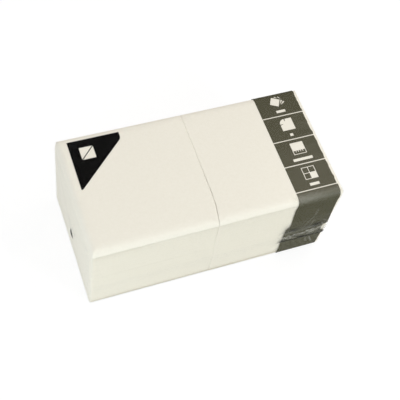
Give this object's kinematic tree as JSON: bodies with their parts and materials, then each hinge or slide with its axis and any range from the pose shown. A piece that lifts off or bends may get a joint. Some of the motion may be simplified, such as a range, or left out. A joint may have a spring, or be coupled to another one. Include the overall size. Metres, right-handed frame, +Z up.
{
  "type": "pack of paper napkins",
  "caption": "Sealed clear-film pack of folded paper napkins, stacked side by side, with a dark printed band and a black corner field.",
  "frame": {"origin": "on the table, under the middle of the pack", "axes": "+X along the row of two stacks towards the banded end, -Y towards the front with the lap seam, +Z up"},
  "size_m": [0.2426, 0.1228, 0.105],
  "materials": {
    "napkin_tissue": "soft ivory tissue, matt",
    "clear_film": "thin clear film, glossy, lightly wrinkled",
    "band_ink": "dark olive brown print under gloss",
    "corner_ink": "solid black print under gloss"
  },
  "bodies": {
    "root": {"napkin_stack_left": "napkin_tissue", "napkin_stack_right": "napkin_tissue", "film_wrap": "clear_film", "printed_band": "band_ink", "printed_corner": "corner_ink"}
  },
  "joints": []
}
